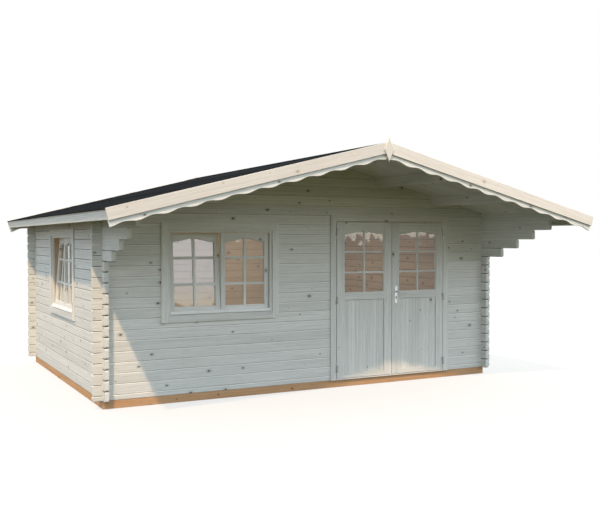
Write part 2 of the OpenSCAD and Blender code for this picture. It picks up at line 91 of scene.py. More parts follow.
# looks of one planed softwood: under a pale glaze, under the fresher glaze of the trim, bare, and impregnated
glazed = {"pale": "#E8E9E5", "streak": "#D3D6D1", "fibre": "#B4BAB5", "rim": "#ADADA5", "knot": "#55504A"}
cream = {"pale": "#E2E0DA", "streak": "#D4D1C9", "fibre": "#C0BBB1", "rim": "#CDC5B8", "knot": "#AC9F8D"}
bare = {"pale": "#CDB497", "streak": "#C0A480", "fibre": "#AE8E69", "rim": "#9A7751", "knot": "#5E4229"}
brown = {"pale": "#D2AB85", "streak": "#C1956B", "fibre": "#A97A51", "rim": "#8B5D38", "knot": "#4A301C"}

# spruce grain: a knot in each stretch of a log, year lines of 2 to 4 mm drawn 11 mm wide so that they show;
# here and below a range of four gives from low, from high, to low, to high
grain = {"knotEvery": 0.46, "knotSize": 0.026, "knotSkip": 0.42, "knotLong": 0.65, "knotLeast": 0.0004,
         "core": 0.5, "rim": 2.8, "bend": 0.55, "logBand": (-0.04, 0.08), "boardBand": (0.0, 0.2),
         "seedRun": 53.0, "seedDepth": 19.0, "line": (0.75, 0.011, 3.0), "fibre": (0.16, 0.0034, 2.0), "noise": 0.55,
         "clear": 0.12, "clearShift": 0.3, "tone": (0.0, 1.0, 0.93, 1.05), "bump": 0.0007, "raise": 0.6,
         "share": 0.5, "dull": (-0.1, 0.12), "gloss": 0.06, "endCos": 0.8, "pith": (0.035, 0.028),
         "ringW": 0.0055, "ring": (-0.2, 1.0, 0.0, 0.75), "wobble": 0.004, "wobbleScale": 60.0}
stain = {"streak": (0.40, 0.68, 0.0, 0.9), "fibre": (0.50, 0.74, 0.0, 0.55),
         "rim": (0.0, 1.0, 0.0, 0.5), "knot": (0.0, 1.0, 0.0, 0.95)}
# joints of the courses, by their half height; beyond the crossing wall they are wider, and on corbels tighter
# the upper bevel of each course gets a painted highlight
seams = {"front": 0.0019, "side": 0.0041, "beyond": (-0.9, -0.5), "corbel": 0.65, "soft": 0.6, "past": 0.004,
         "dark": "#38362F", "bevel": 0.006, "bevelHighlight": "#F9FAF7", "highlightShare": 0.9}


def growGrain(put, along, across, seed, low, span):
    # one knot at a random spot of each stretch, between low and low + span; lines bend round it
    g = grain
    start = put("Math.MULTIPLY_ADD", [seed, g["seedRun"], along])
    cell = put("Math.DIVIDE", [start, g["knotEvery"]])
    chance = put("TexVoronoi", {"W": cell, "Scale": 1.0}, "Color", voronoi_dimensions="1D")
    size = put("SeparateColor", [chance], "Red")
    aside = put("Math.SUBTRACT", [cell, chance.node.outputs["W"]])
    aside = put("Math.MULTIPLY", [aside, g["knotLong"] * g["knotEvery"]])
    above = put("Math.MULTIPLY_ADD", [size.node.outputs["Green"], -span, across])
    above = put("Math.SUBTRACT", [above, low])
    away = put("VectorMath.LENGTH", [put("CombineXYZ", [aside, above])], "Value")
    radius = put("Math.MULTIPLY_ADD", [size, g["knotSize"], -g["knotSkip"] * g["knotSize"]])
    radius = put("Math.MAXIMUM", [radius, g["knotLeast"]])
    core = put("Math.MULTIPLY", [radius, g["core"]])
    wide = put("Math.MULTIPLY", [radius, g["rim"]])
    knot, rim = (put("MapRange", [away, near, far, 1.0, 0.0], interpolation_type="SMOOTHSTEP")
                 for near, far in ((core, radius), (radius, wide)))
    push = put("Math.MULTIPLY", [above, rim])
    bent = put("Math.MULTIPLY_ADD", [push, -g["bend"], across])
    depth = put("Math.MULTIPLY", [seed, g["seedDepth"]])
    layers = []
    for run, width, detail in (g["line"], g["fibre"]):
        x, y = put("Math.DIVIDE", [start, run]), put("Math.DIVIDE", [bent, width])
        layers.append(put("TexNoise", {"Vector": put("CombineXYZ", [x, y, depth]), "Scale": 1.0, "Detail": detail,
                                       "Roughness": g["noise"]}))
    return {"streak": layers[0], "fibre": layers[1], "rim": rim, "knot": knot, "seed": seed}


def stainWood(put, wood, look):  # pale wood, then its streaks, fibres, knot rims and knots over it
    colour = look["pale"]
    for part, shown in stain.items():
        amount = put("MapRange", [wood[part], *shown])
        colour = put("Mix", {0: amount, 6: colour, 7: look[part]}, 2, data_type="RGBA")
    return put("HueSaturation", {"Value": put("MapRange", [wood["seed"], *grain["tone"]]), "Color": colour})


def cutRings(put, colour, across, through, cut, look):
    # year rings on a sawn end: a sine of the distance from the pith, which lies off the board
    x, y = (put("Math.ADD", [value, pith]) for value, pith in zip((across, through), grain["pith"]))
    spot = put("CombineXYZ", [x, y])
    away = put("VectorMath.LENGTH", [spot], "Value")
    rough = put("TexNoise", {"Vector": spot, "Scale": grain["wobbleScale"], "Detail": 2.0})
    away = put("Math.MULTIPLY_ADD", [rough, grain["wobble"], away])
    wave = put("Math.SINE", [put("Math.MULTIPLY", [away, math.tau / grain["ringW"]])])
    ring = put("MapRange", [wave, *grain["ring"]])
    sawn = put("Mix", {0: ring, 6: look["pale"], 7: look["fibre"]}, 2, data_type="RGBA")
    return put("Mix", {0: cut, 6: colour, 7: sawn}, 2, data_type="RGBA")


def closeWood(put, wood, colour, rough):  # matt planed surface: fibres stand up a little and knots sink
    height = put("Math.MULTIPLY_ADD", [wood["fibre"], grain["share"], wood["streak"]])
    height = put("Math.MULTIPLY_ADD", [wood["knot"], -grain["share"], height])
    normal = put("Bump", {"Height": height, "Strength": grain["raise"], "Distance": grain["bump"]})
    dull = put("MapRange", [wood["streak"], 0.0, 1.0, *(rough + part for part in grain["dull"])])
    face = put("BsdfPrincipled", {"Base Color": colour, "Roughness": dull, "Specular IOR Level": grain["gloss"],
                                  "Normal": normal})
    put("OutputMaterial", {"Surface": face})


def logWood(name, axis, pitch, start, look, rough=0.62, joint=0.0):
    # planed spruce on the solids: each course has its own tone and grain, bare wood inside the room
    finish, put = newFinish(name)
    axes = put("SeparateXYZ", [put("TexCoord", out="Object")]).node.outputs
    up = axes[2] if axis < 2 else axes[0]
    acrossX, acrossY = (0.0, halfW), ((frontY + backY) / 2, (backY - frontY) / 2)  # middle and half spacing of walls
    own, crossing = (acrossY, acrossX) if axis == 0 else (acrossX, acrossY)
    through = put("Math.SUBTRACT", [axes[0 if axis == 1 else 1], own[0]])
    side = put("Math.SIGN", [through])
    through = put("Math.SUBTRACT", [put("Math.ABSOLUTE", [through]), own[1] - house["logT"]])
    rise = put("Math.DIVIDE", [put("Math.SUBTRACT", [up, start]), pitch])
    course = put("Math.FLOOR", [rise])
    local = put("Math.SUBTRACT", [rise, course])
    local = put("Math.MULTIPLY_ADD", [local, pitch, -pitch / 2])
    spot = put("CombineXYZ", [course, side, float(axis)])
    seed = put("TexWhiteNoise", {"Vector": spot}, noise_dimensions="3D")
    wood = growGrain(put, axes[axis], local, seed, *grain["logBand"])
    colour = stainWood(put, wood, look)
    if joint:  # painted highlight: the upper bevel of each course, which faces the sky, is drawn paler
        bevel = put("MapRange", [local, pitch / 2 - 2 * seams["bevel"], pitch / 2 - seams["bevel"],
                                 0.0, seams["highlightShare"]])
        colour = put("Mix", {0: bevel, 6: colour, 7: seams["bevelHighlight"]}, 2, data_type="RGBA")
    tests = [("LESS_THAN", put("Math.ABSOLUTE", [axes[0]]), halfW - house["logT"] / 2),
             ("GREATER_THAN", axes[1], frontY + house["logT"] / 2),
             ("LESS_THAN", axes[1], backY - house["logT"] / 2)]
    inside = 1.0
    for test, value, limit in tests:
        inside = put("Math.MULTIPLY", [put("Math." + test, [value, limit]), inside])
    colour = put("Mix", {0: inside, 6: colour, 7: stainWood(put, wood, bare)}, 2, data_type="RGBA")
    facing = put("SeparateXYZ", [put("TexCoord", out="Normal")]).node.outputs[axis]
    cut = put("Math.GREATER_THAN", [put("Math.ABSOLUTE", [facing]), grain["endCos"]])
    colour = cutRings(put, colour, local, through, cut, look)
    if joint:
        # the joint at the bottom of the groove stays open and dark; beyond the crossing wall the tongues are
        # cut away and it is wider, apart from the corbels, which the roof presses together
        beyond = put("Math.ABSOLUTE", [put("Math.SUBTRACT", [axes[axis], crossing[0]])])
        beyond = put("Math.GREATER_THAN", [beyond, crossing[1] + seams["past"]])
        corbel = put("Math.GREATER_THAN", [axes[2], baseTop + house["corbelFrom"] * house["logH"]])
        widen = put("MapRange", [corbel, 0.0, 1.0, seams["beyond"][axis] * joint, seams["corbel"] * joint])
        least = put("Math.MULTIPLY_ADD", [beyond, widen, pitch / 2 - joint])
        most = put("Math.ADD", [least, seams["soft"] * joint])
        gap = put("MapRange", [put("Math.ABSOLUTE", [local]), least, most])
        colour = put("Mix", {0: gap, 6: colour, 7: seams["dark"]}, 2, data_type="RGBA")
    closeWood(put, wood, colour, rough)
    return finish


def boardWood(name, look, inner=None, rough=0.6):
    # planed boards: the grain follows each board's own map, and bare faces show the wood itself
    finish, put = newFinish(name)
    axes = put("SeparateXYZ", [put("UVMap", uv_map="grainMap")]).node.outputs
    seed = put("Attribute", out="Fac", attribute_name="boardSeed")
    wood = growGrain(put, axes[0], axes[1], seed, *grain["boardBand"])
    colour = stainWood(put, wood, look)
    if inner:
        shown = put("Attribute", out="Fac", attribute_name="bareFace")
        colour = put("Mix", {0: shown, 6: colour, 7: stainWood(put, wood, inner)}, 2, data_type="RGBA")
    cut = put("Attribute", out="Fac", attribute_name="cutEnd")
    colour = cutRings(put, colour, axes[0], axes[1], cut, look)
    closeWood(put, wood, colour, rough)
    return finish


# roof and gable trim; levels are square to the slope, above the underside of the roof boards
roof = {"boardT": 0.019, "boards": 58, "feltT": 0.004, "drip": 0.015, "fasciaT": 0.020, "fasciaH": 0.097,
        "fasciaInset": 0.006, "bargeT": 0.020, "bargeH": 0.113, "bargeProud": 0.006, "scallopT": 0.018,
        "drop": 0.060, "wave": 0.020, "waves": 11, "ease": 0.003, "sheet": 0.94, "lapRise": 0.003, "lapLen": 0.11,
        "lapRamp": 0.04, "lapEdge": 0.0008, "cockle": 0.0005, "ripples": ((5.1, 2.3), (1.1, 9.7), (13.0, -3.0)),
        "fade": 0.2, "ridgeStrip": 0.17, "stripLow": 0.0012, "stripHigh": 0.0045}
feltTop = roof["boardT"] + seat + roof["feltT"]
bargeTop = feltTop + roof["bargeProud"]
bargeLow = bargeTop - roof["bargeH"]
boardFront, boardBack = roofFront + roof["bargeT"] + seat, roofBack - roof["bargeT"] - seat
purlinFront, purlinBack = boardFront + roof["scallopT"] + seat, boardBack - roof["scallopT"] - seat
fasciaOut = slopeLen - roof["fasciaInset"]

felt = {"dark": "#181B1D", "pale": "#222527", "speck": "#3C3F41", "pit": "#101215", "lapLine": "#0B0C0D",
        "grit": 0.007, "cloud": 1.6, "specks": (0.72, 1.0, 0.0, 0.5), "pits": (0.0, 0.25, 0.6, 0.0),
        "tone": (0.0, 1.0, 0.8, 1.22), "edge": (0.975, 0.995, 0.0, 0.8), "bump": 0.0012, "raise": 0.5,
        "dull": (0.0, 1.0, 0.78, 0.95)}


def roofingFelt():
    # bitumen felt with slate granules: dull anthracite, 1.5 mm grit drawn 7 mm wide so that it shows
    finish, put = newFinish("bitumen_roofing_felt")
    place = put("TexCoord", out="Object")
    grit = put("TexVoronoi", {"Vector": place, "Scale": 1 / felt["grit"]}, "Color")
    speck = put("SeparateColor", [grit], "Red")
    cloud = put("TexNoise", {"Vector": place, "Scale": felt["cloud"], "Detail": 4.0})
    colour = put("Mix", {0: cloud, 6: felt["dark"], 7: felt["pale"]}, 2, data_type="RGBA")
    for shown, tint in (("specks", "speck"), ("pits", "pit")):
        amount = put("MapRange", [speck, *felt[shown]])
        colour = put("Mix", {0: amount, 6: colour, 7: felt[tint]}, 2, data_type="RGBA")
    # each sheet has its own tone and a dark line just below its lower edge
    across = put("SeparateXYZ", [place])
    sheet = put("Math.MULTIPLY_ADD", [put("Math.ABSOLUTE", [across]), -1 / (slopeCos * roof["sheet"]),
                                      (fasciaOut + roof["drip"]) / roof["sheet"]])
    level = put("Math.FLOOR", [sheet])
    spot = put("CombineXYZ", [level, put("Math.SIGN", [across])])
    seed = put("TexWhiteNoise", {"Vector": spot}, noise_dimensions="2D")
    colour = put("HueSaturation", {"Value": put("MapRange", [seed, *felt["tone"]]), "Color": colour})
    edge = put("MapRange", [put("Math.SUBTRACT", [sheet, level]), *felt["edge"]])
    colour = put("Mix", {0: edge, 6: colour, 7: felt["lapLine"]}, 2, data_type="RGBA")
    normal = put("Bump", {"Height": speck, "Strength": felt["raise"], "Distance": felt["bump"]})
    dull = put("MapRange", [speck, *felt["dull"]])
    face = put("BsdfPrincipled", {"Base Color": colour, "Roughness": dull, "Specular IOR Level": 0.0,
                                  "Normal": normal})
    put("OutputMaterial", {"Surface": face})
    return finish


pane = {"tint": "#F3F8F6", "ior": 1.5, "wave": 0.3, "smear": 0.08, "haze": (0.4, 0.8, 0.0, 0.03), "bump": 0.0015,
        "raise": 0.2}


def floatGlass():
    # clear float glass: sharp reflections with a faint wave over 0.3 m; lamps shine through it
    finish, put = newFinish("float_glass")
    place = put("TexCoord", out="Object")
    wave = put("TexNoise", {"Vector": place, "Scale": 1 / pane["wave"], "Detail": 1.0})
    smear = put("TexNoise", {"Vector": place, "Scale": 1 / pane["smear"], "Detail": 3.0})
    normal = put("Bump", {"Height": wave, "Strength": pane["raise"], "Distance": pane["bump"]})
    face = put("BsdfPrincipled", {"Base Color": pane["tint"], "Roughness": put("MapRange", [smear, *pane["haze"]]),
                                  "IOR": pane["ior"], "Transmission Weight": 1.0, "Normal": normal})
    clear = put("BsdfTransparent", {"Color": pane["tint"]})
    lamp = put("LightPath", out="Is Shadow Ray")
    put("OutputMaterial", {"Surface": put("MixShader", [lamp, face, clear])})
    return finish


# scratches run along Z; middle, half spacing and barrel place the hinges along X
metal = {"scratchW": 0.0015, "scratchRun": 0.06, "grime": 0.03, "tone": (0.35, 0.7, 0.82, 1.05), "dull": (-0.1, 0.12),
         "bump": 0.0002, "raise": 0.25, "coatDull": 0.5, "middle": 1.076, "half": 0.7975, "barrel": 0.0085}


def satinSteel(name, code, rough, painted=False):
    # brushed metal: 0.3 mm scratches drawn 1.5 mm wide, a soft bright sheen; painted, only its barrels stay bare
    m = metal
    finish, put = newFinish(name)
    place = put("TexCoord", out="Object")
    lines = put("VectorMath.MULTIPLY", [place, (1 / m["scratchW"], 1 / m["scratchW"], 1 / m["scratchRun"])])
    brush = put("TexNoise", {"Vector": lines, "Scale": 1.0, "Detail": 2.0})
    grime = put("TexNoise", {"Vector": place, "Scale": 1 / m["grime"], "Detail": 3.0})
    tone = put("MapRange", [grime, *m["tone"]])
    colour = put("HueSaturation", {"Value": tone, "Color": code})
    dull = put("MapRange", [brush, 0.0, 1.0, *(rough + part for part in m["dull"])])
    normal = put("Bump", {"Height": brush, "Strength": m["raise"], "Distance": m["bump"]})
    face = put("BsdfPrincipled", {"Base Color": colour, "Metallic": 1.0, "Roughness": dull, "Normal": normal})
    if painted:
        away = put("Math.ABSOLUTE", [put("Math.SUBTRACT", [put("SeparateXYZ", [place]), m["middle"]])])
        away = put("Math.ABSOLUTE", [put("Math.SUBTRACT", [away, m["half"]])])
        plate = put("Math.GREATER_THAN", [away, m["barrel"]])
        coat = put("HueSaturation", {"Value": tone, "Color": glazed["streak"]})
        coat = put("BsdfPrincipled", {"Base Color": coat, "Roughness": m["coatDull"],
                                      "Specular IOR Level": grain["gloss"]})
        face = put("MixShader", [plate, face, coat])
    put("OutputMaterial", {"Surface": face})
    return finish


powder = {"clean": "#F5F6F4", "dusty": "#E8E9E7", "peel": 0.004, "dust": 0.12, "shade": (0.35, 0.75, 0.0, 1.0),
          "dull": (0.0, 1.0, 0.3, 0.5), "bump": 0.0003, "raise": 0.2}


def coatedMetal():  # white powder-coated aluminium: a fine orange peel and a little dust
    finish, put = newFinish("white_coated_aluminium")
    place = put("TexCoord", out="Object")
    peel = put("TexNoise", {"Vector": place, "Scale": 1 / powder["peel"], "Detail": 2.0})
    dust = put("TexNoise", {"Vector": place, "Scale": 1 / powder["dust"], "Detail": 4.0})
    shade = put("MapRange", [dust, *powder["shade"]])
    colour = put("Mix", {0: shade, 6: powder["clean"], 7: powder["dusty"]}, 2, data_type="RGBA")
    normal = put("Bump", {"Height": peel, "Strength": powder["raise"], "Distance": powder["bump"]})
    dull = put("MapRange", [dust, *powder["dull"]])
    face = put("BsdfPrincipled", {"Base Color": colour, "Roughness": dull, "Normal": normal})
    put("OutputMaterial", {"Surface": face})
    return finish


finishes = {
    "frontLogs": logWood("glazed_spruce_front_logs", axis=0, pitch=house["logH"], start=baseTop + house["logH"] / 2,
                         look=glazed, joint=seams["front"]),
    "sideLogs": logWood("glazed_spruce_side_logs", axis=1, pitch=house["logH"], start=baseTop,
                        look=dict(glazed, knot="#8F8A82"), joint=seams["side"]),
    "purlins": logWood("glazed_spruce_purlins", axis=1, pitch=0.14, start=0.02, look=glazed),
    "posts": logWood("glazed_spruce_posts", axis=2, pitch=0.31, start=0.0, look=glazed, rough=0.5),
    "joinery": boardWood("glazed_spruce_joinery", glazed, bare, rough=0.5),
    "trim": boardWood("cream_glazed_spruce_trim", cream, bare),
    "pine": boardWood("bare_planed_pine", bare),
    "base": boardWood("impregnated_brown_pine", brown, rough=0.7),
    "felt": roofingFelt(),
    "glass": floatGlass(),
    "steel": satinSteel("satin_stainless_steel", "#C8CACC", rough=0.36),
    "zinc": satinSteel("dull_zinc_plated_steel", "#A2A4A5", rough=0.42, painted=True),
    "lock": satinSteel("nickel_lock_cylinder", "#747678", rough=0.4),
    # the keyhole plate is painted shade: a near-black plate where the key's opening would be
    "slot": satinSteel("keyhole_painted_shade", "#1B1C1E", rough=0.5),
    "coated": coatedMetal(),
}
kept = {"frontLogs": ["front_wall_left", "front_wall_right", "front_gable", "back_wall", "back_gable"],
        "sideLogs": ["left_wall", "right_wall"], "purlins": ["ridge_purlin", "side_purlins", "floor_joists"],
        "posts": ["door_frame", "door_threshold"],
        "glass": ["front_window_glass", "side_window_glass", "left_door_glass", "right_door_glass"],
        "zinc": ["door_hinge_pins", "left_door_hinges", "right_door_hinges"]}
for key, names in kept.items():
    for name in names:
        nodes[name].data.materials.clear()
        nodes[name].data.materials.append(finishes[key])
print("finishes:", len(finishes))


def loftShell(rings, closed=False):
    # closed sections carried along a path; rings is pieces x steps x points round the section x 3
    count, steps, around = rings.shape[:3]
    index = np.arange(count * steps * around).reshape(count, steps, around)
    nextStep = np.roll(index, -1, 1) if closed else index[:, 1:]
    thisStep = index if closed else index[:, :-1]
    quads = np.stack([thisStep, np.roll(thisStep, -1, 2), np.roll(nextStep, -1, 2), nextStep], -1)
    # map: the run along the path by the girth round the section
    middle = rings.mean(2)
    run = np.linalg.norm(np.diff(middle, axis=1, append=middle[:, :1]), axis=-1)
    run = np.concatenate([np.zeros((count, 1)), np.cumsum(run, 1)], 1)
    girth = np.cumsum(np.linalg.norm(np.roll(rings, -1, 2) - rings, axis=-1), 2)
    girth = np.concatenate([np.zeros((count, steps, 1)), girth], 2)
    narrow = girth[..., -1:] < grain["clear"]  # bars and beads lie past the knots
    girth = girth + np.where(narrow, grain["clearShift"], 0.0)
    u0, u1 = run[:, :quads.shape[1], None], run[:, 1:quads.shape[1] + 1, None]
    v0 = girth[:, :quads.shape[1]]
    v1 = np.roll(girth, -1, 1)[:, :quads.shape[1]]
    uv = np.stack([np.stack(np.broadcast_arrays(u, v), -1) for u, v in
                   ((u0, v0[..., :-1]), (u0, v0[..., 1:]), (u1, v1[..., 1:]), (u1, v1[..., :-1]))], -2)
    points = rings.reshape(-1, 3)
    seeds = dice.random(count)
    corner = points[quads[0].reshape(-1, 4)] - points.mean(0)
    outward = (corner.mean(1) * np.cross(corner[:, 2] - corner[:, 0], corner[:, 3] - corner[:, 1])).sum()
    turn = 1 if outward > 0 else -1  # faces look outwards whichever way the section runs
    each = quads.shape[1] * around
    blocks = [(quads.reshape(-1, 4)[:, ::turn], uv.reshape(-1, 4, 2)[:, ::turn], np.repeat(seeds, each), 0.0)]
    if not closed:  # sawn ends
        for step, way in ((0, -turn), (steps - 1, turn)):
            flat = rings[:, step] - middle[:, step, None]
            axisA = flat[:, around // 2] - flat[:, 0]
            axisA = axisA / np.linalg.norm(axisA, axis=-1, keepdims=True)
            ahead = np.cross(flat[:, 0], flat[:, around // 4])
            axisB = np.cross(ahead / np.linalg.norm(ahead, axis=-1, keepdims=True), axisA)
            cap = np.stack([(flat * axisA[:, None]).sum(-1), (flat * axisB[:, None]).sum(-1)], -1)
            blocks.append((index[:, step][:, ::way], cap[:, ::way], seeds, 1.0))
    return {"points": points, "blocks": blocks}


def easedSection(width, depth, ease):  # rectangle with three points round each corner, about its middle
    turn = np.repeat(np.arange(4), 3)
    angle = turn * math.pi / 2 + np.tile(np.arange(3), 4) * math.pi / 4
    sign = np.array([[1, 1], [-1, 1], [-1, -1], [1, -1]])[turn]
    half = np.stack(np.broadcast_arrays(width, depth), -1)[..., None, :] / 2 - ease
    return sign * half + ease * np.stack([np.cos(angle), np.sin(angle)], -1)


def boards(starts, ends, across, widths, depths, ease):
    # eased boards from start to end: point = end of the line + across * s + through * t
    starts, ends = np.atleast_2d(starts).astype(float), np.atleast_2d(ends).astype(float)
    count = len(starts)
    section = easedSection(np.broadcast_to(widths, count), np.broadcast_to(depths, count), ease)
    way = ends - starts
    way = way / np.linalg.norm(way, axis=1, keepdims=True)
    across = np.broadcast_to(np.asarray(across, float), (count, 3))
    through = np.cross(way, across)
    ring = section[..., :1] * across[:, None] + section[..., 1:] * through[:, None]
    return loftShell(np.stack([starts[:, None] + ring, ends[:, None] + ring], 1))


def uprights(x, y, low, high, width, depth, ease):  # two boards at -x and x, from low to high
    return boards([[-x, y, low], [x, y, low]], [[-x, y, high], [x, y, high]], (1, 0, 0), width, depth, ease)


def levels(x, y, heights, width, depth, ease):  # boards from -x to x, one at each height
    return boards([[-x, y, z] for z in heights], [[x, y, z] for z in heights], (0, 0, 1), width, depth, ease)


def moved(shell, spot):  # a shell from a wall's own axes to the house: at + x * right + y * inward + z * up
    axes = np.array([spot["right"], spot["inward"], (0, 0, 1)], float)
    return {"points": np.asarray(spot["at"], float) + shell["points"] @ axes, "blocks": shell["blocks"]}


def makePiece(name, parts, finish, body, stands=(), smooth=0):
    # parts are pairs of a shell and where its wood is bare: 0, 1, or (direction, least cosine)
    points, faces, maps, seeds, cuts, bares, count = [], [], [], [], [], [], 0
    for shell, rule in parts:
        for index, uv, seed, cut in shell["blocks"]:
            faces += (index + count).tolist()
            maps.append(uv.reshape(-1, 2))
            seeds.append(seed)
            cuts.append(np.full(len(index), cut))
            if isinstance(rule, tuple):
                corner = shell["points"][index]
                normal = np.cross(corner[:, 2] - corner[:, 0], corner[:, -1] - corner[:, 1])
                normal = normal / np.maximum(np.linalg.norm(normal, axis=1, keepdims=True), 1e-12)
                bares.append((normal @ np.asarray(rule[0], float) > rule[1]).astype(float))
            else:
                bares.append(np.full(len(index), float(rule)))
        points.append(shell["points"])
        count += len(shell["points"])
    mesh = bpy.data.meshes.new(name)
    mesh.from_pydata(np.concatenate(points).tolist(), [], faces)
    mesh.uv_layers.new(name="grainMap").data.foreach_set("uv", np.concatenate(maps).ravel())
    for label, values in (("boardSeed", seeds), ("cutEnd", cuts), ("bareFace", bares)):
        mesh.attributes.new(label, "FLOAT", "FACE").data.foreach_set("value", np.concatenate(values))
    if smooth:  # degrees under which an edge is shaded round
        mesh.polygons.foreach_set("use_smooth", np.ones(len(faces), bool))
        mesh.set_sharp_from_angle(angle=math.radians(smooth))
    mesh.materials.append(finish)
    mesh.update()
    piece = bpy.data.objects.new(name, mesh)
    bpy.context.scene.collection.objects.link(piece)
    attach(piece, body)
    if stands:
        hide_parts(*stands)


headSteps = 33  # points along the curved head of a pane


def headLine(x, width, height, rise):  # curved head of a pane: a cosine from its crown to its shoulders
    return height - rise / 2 * (1 - np.cos(math.tau * x / width))


def curvedRail(style, width, low, height, top, y0, depth):
    # rail over a pane: an eased upright section whose lower edge follows the head line
    x = np.linspace(-width / 2, width / 2, headSteps)
    edge = low + headLine(x, width, height, style["rise"])
    section = easedSection(np.full(headSteps, depth), top - edge, style["headEase"])
    z = ((top + edge) / 2)[:, None] + section[..., 1]
    rings = np.stack(np.broadcast_arrays(x[:, None], y0 + depth / 2 + section[..., 0], z), -1)
    return loftShell(rings[None])


def paneBead(style, width, low, height, y, side):
    # quarter-round bead along the pane's edge: the section stands square to each corner's middle line
    x = np.linspace(width / 2, -width / 2, headSteps)
    line = np.concatenate([[[-width / 2, low]], [[width / 2, low]],
                           np.stack([x, low + headLine(x, width, height, style["rise"])], -1)])
    ahead = np.roll(line, -1, 0) - line
    ahead = ahead / np.linalg.norm(ahead, axis=1, keepdims=True)
    normal = np.stack([-ahead[:, 1], ahead[:, 0]], -1)
    before = np.roll(normal, 1, 0)
    mitre = (normal + before) / (1 + (normal * before).sum(1, keepdims=True))
    angle = np.linspace(0, math.pi / 2, 5)
    inset = np.concatenate([[0.0], style["bead"] * np.cos(angle)])
    depth = np.concatenate([[0.0], style["bead"] * np.sin(angle)])
    flat = line[:, None] + mitre[:, None] * inset[None, :, None]
    rings = np.stack(np.broadcast_arrays(flat[..., 0], y + side * depth, flat[..., 1]), -1)
    return loftShell(rings[None], closed=True)


def barsAndBeads(style, width, low, height, mid):
    # on each face of the pane one upright bar, two rows of level bars on either side of it, and a bead all round
    shells, bar = [], (style["barW"], style["barD"], style["barEase"])
    faces = ((mid - style["glass"] / 2 - seat, -1), (mid + style["glass"] / 2 + seat, 1))
    for face, side in faces:
        y = face + side * style["barD"] / 2
        shells.append(boards([0, y, low], [0, y, low + height], (1, 0, 0), *bar))
        z = low + np.repeat(style["barsAt"], 2)
        inner = np.tile([-style["barW"] / 2, style["barW"] / 2], 2)
        outer = np.tile([-width / 2, width / 2], 2)
        shells.append(boards(np.stack([inner, np.full(4, y), z], -1), np.stack([outer, np.full(4, y), z], -1),
                             (0, 0, 1), *bar))
    return shells + [paneBead(style, width - seat, low + seat, height - 2 * seat, y, side) for y, side in faces]


window = {"frontX": -1.216, "frontCourse": 7.5, "sideY": 1.985, "sideCourse": 7, "w": 1.300, "h": 0.979,
          "frameW": 0.047, "frameD": 0.070, "frameEase": 0.0008, "reveal": 0.002, "sashT": 0.040, "sashBack": 0.024,
          "stile": 0.055, "top": 0.060, "ease": 0.0015, "headEase": 0.0015, "gap": 0.004, "lean": math.radians(4.5),
          "rise": 0.040, "glass": 0.004, "casingW": 0.078, "casingT": 0.020, "casingEase": 0.003, "lap": 0.018,
          "barW": 0.031, "barD": 0.013, "barEase": 0.004, "barsAt": (0.249, 0.545), "bead": 0.004, "dripGap": 0.001,
          "drip": ((-0.0200, 0.0310), (-0.0020, 0.0580), (0.0205, 0.0610), (0.0205, 0.0478), (0.0010, 0.0478),
                   (-0.0008, 0.0460), (-0.0168, 0.0285))}


def leanBack(shell, angle, pivotY, pivotZ):  # turns a sash about its lower inner edge, then sets it on the sill
    x, y, z = shell["points"].T
    y = y - pivotY
    leaned = np.stack([x, y * math.cos(angle) + z * math.sin(angle) + pivotY,
                       z * math.cos(angle) - y * math.sin(angle) + pivotZ], -1)
    return {"points": leaned, "blocks": shell["blocks"]}


def sashTimbers(sashW, sashH):
    # one sash: stiles, a lower rail and a head rail with a curved edge, then what its pane carries
    w = window
    paneW, paneH = sashW - 2 * w["stile"], sashH - w["stile"] - w["top"]
    mid, board = w["sashBack"] + w["sashT"] / 2, (w["stile"], w["sashT"], w["ease"])
    return [uprights((sashW - w["stile"]) / 2, mid, 0, sashH, *board),
            levels(paneW / 2 - seat, mid, [w["stile"] / 2], *board),
            curvedRail(w, paneW - 2 * seat, w["stile"], paneH, sashH, w["sashBack"], w["sashT"]),
            *barsAndBeads(w, paneW, w["stile"], paneH, mid)]


